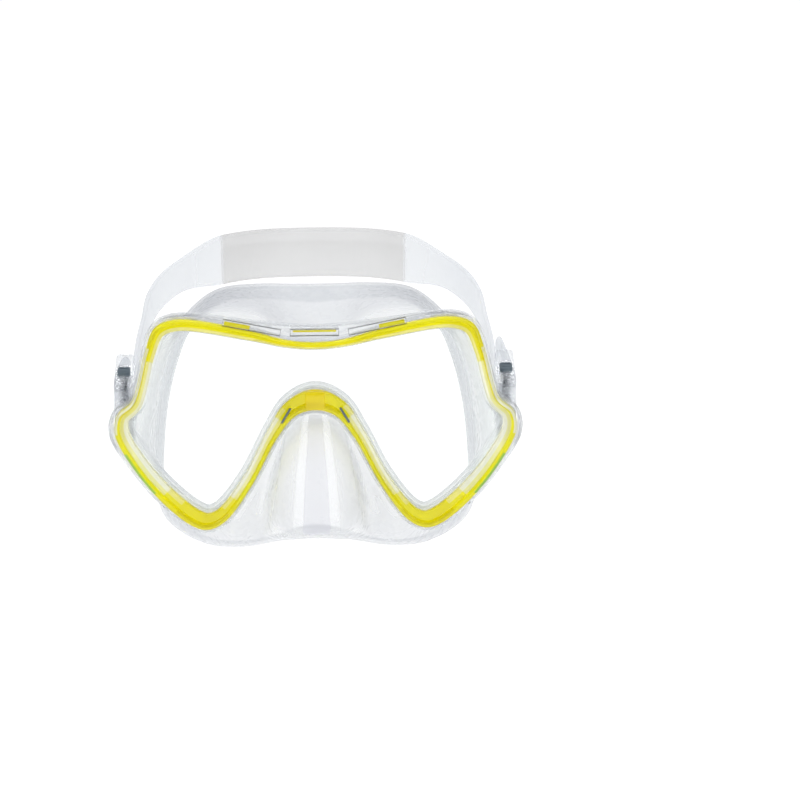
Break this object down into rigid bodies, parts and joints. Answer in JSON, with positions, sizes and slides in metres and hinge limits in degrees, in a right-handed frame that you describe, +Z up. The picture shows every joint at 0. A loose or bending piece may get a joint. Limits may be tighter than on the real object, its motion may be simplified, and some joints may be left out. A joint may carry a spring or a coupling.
{
  "type": "snorkel mask",
  "caption": "Snorkelling mask: one-piece lens in a clear frame with a yellow retaining ring, silicone skirt with nose pocket, strap and swivel push-button buckles.",
  "frame": {"origin": "centre of the skirt's face opening, on the mask's middle plane", "axes": "+X to the wearer's left, +Y back towards the wearer's face, +Z up; the lens looks along -Y"},
  "size_m": [0.1722, 0.1596, 0.1283],
  "materials": {
    "lens_glass": "clear tempered glass",
    "clear_plastic": "clear polycarbonate",
    "yellow_plastic": "translucent lemon yellow polycarbonate",
    "skirt_silicone": "milky clear silicone, satin",
    "strap_silicone": "milky clear silicone, satin",
    "grey_plastic": "slate grey acetal",
    "steel": "stainless steel"
  },
  "bodies": {
    "mask": {"front_frame": "clear_plastic", "retaining_ring": "yellow_plastic", "lens": "lens_glass", "skirt": "skirt_silicone", "pivot_pin_left": "steel", "pivot_pin_right": "steel"},
    "left_buckle_and_strap": {"buckle_body_left": "clear_plastic", "roller_pin_left": "steel", "button_spring_upper_left": "steel", "button_spring_lower_left": "steel", "strap": "strap_silicone"},
    "right_buckle": {"buckle_body_right": "clear_plastic", "roller_pin_right": "steel", "button_spring_upper_right": "steel", "button_spring_lower_right": "steel"},
    "left_roller": {"strap_roller_left": "clear_plastic"},
    "left_pawl": {"strap_pawl_left": "clear_plastic"},
    "left_upper_button": {"button_upper_left": "grey_plastic"},
    "left_lower_button": {"button_lower_left": "grey_plastic"},
    "right_roller": {"strap_roller_right": "clear_plastic"},
    "right_pawl": {"strap_pawl_right": "clear_plastic"},
    "right_upper_button": {"button_upper_right": "grey_plastic"},
    "right_lower_button": {"button_lower_right": "grey_plastic"}
  },
  "joints": [
    {"name": "left_buckle_swing", "type": "hinge", "parent": "mask", "child": "left_buckle_and_strap", "pos_m": [0.0808, -0.038, 0.0065], "axis": [1, 0, 0], "range_deg": [-35, 10]},
    {"name": "right_buckle_swing", "type": "hinge", "parent": "mask", "child": "right_buckle", "pos_m": [-0.0808, -0.038, 0.0065], "axis": [1, 0, 0], "range_deg": [-35, 10]},
    {"name": "left_roller_spin", "type": "hinge", "parent": "left_buckle_and_strap", "child": "left_roller", "pos_m": [0.0808, -0.02591, 0.01127], "axis": [0, -0.3665, 0.9304], "continuous": true},
    {"name": "left_pawl_release", "type": "hinge", "parent": "left_buckle_and_strap", "child": "left_pawl", "pos_m": [0.0808, -0.01986, 0.01365], "axis": [0, -0.3665, 0.9304], "range_deg": [-25, 0], "stiffness_Nm_per_rad": 0.005, "springref_deg": 8.59},
    {"name": "left_upper_button_press", "type": "slide", "parent": "left_buckle_and_strap", "child": "left_upper_button", "axis": [0, 0.3665, -0.9304], "range_m": [0, 0.0012], "stiffness_N_per_m": 300, "springref_m": -0.002, "deforming": ["button_spring_upper_left"]},
    {"name": "left_lower_button_press", "type": "slide", "parent": "left_buckle_and_strap", "child": "left_lower_button", "axis": [0, -0.3665, 0.9304], "range_m": [0, 0.0012], "stiffness_N_per_m": 300, "springref_m": -0.002, "deforming": ["button_spring_lower_left"]},
    {"name": "right_roller_spin", "type": "hinge", "parent": "right_buckle", "child": "right_roller", "pos_m": [-0.0808, -0.02591, 0.01127], "axis": [0, -0.3665, 0.9304], "continuous": true},
    {"name": "right_pawl_release", "type": "hinge", "parent": "right_buckle", "child": "right_pawl", "pos_m": [-0.0808, -0.01986, 0.01365], "axis": [0, 0.3665, -0.9304], "range_deg": [-25, 0], "stiffness_Nm_per_rad": 0.005, "springref_deg": 8.59},
    {"name": "right_upper_button_press", "type": "slide", "parent": "right_buckle", "child": "right_upper_button", "axis": [0, 0.3665, -0.9304], "range_m": [0, 0.0012], "stiffness_N_per_m": 300, "springref_m": -0.002, "deforming": ["button_spring_upper_right"]},
    {"name": "right_lower_button_press", "type": "slide", "parent": "right_buckle", "child": "right_lower_button", "axis": [0, -0.3665, 0.9304], "range_m": [0, 0.0012], "stiffness_N_per_m": 300, "springref_m": -0.002, "deforming": ["button_spring_lower_right"]}
  ],
  "couplings": [
    {"joint": "right_buckle_swing", "follows": "left_buckle_swing", "ratio": 1}
  ]
}
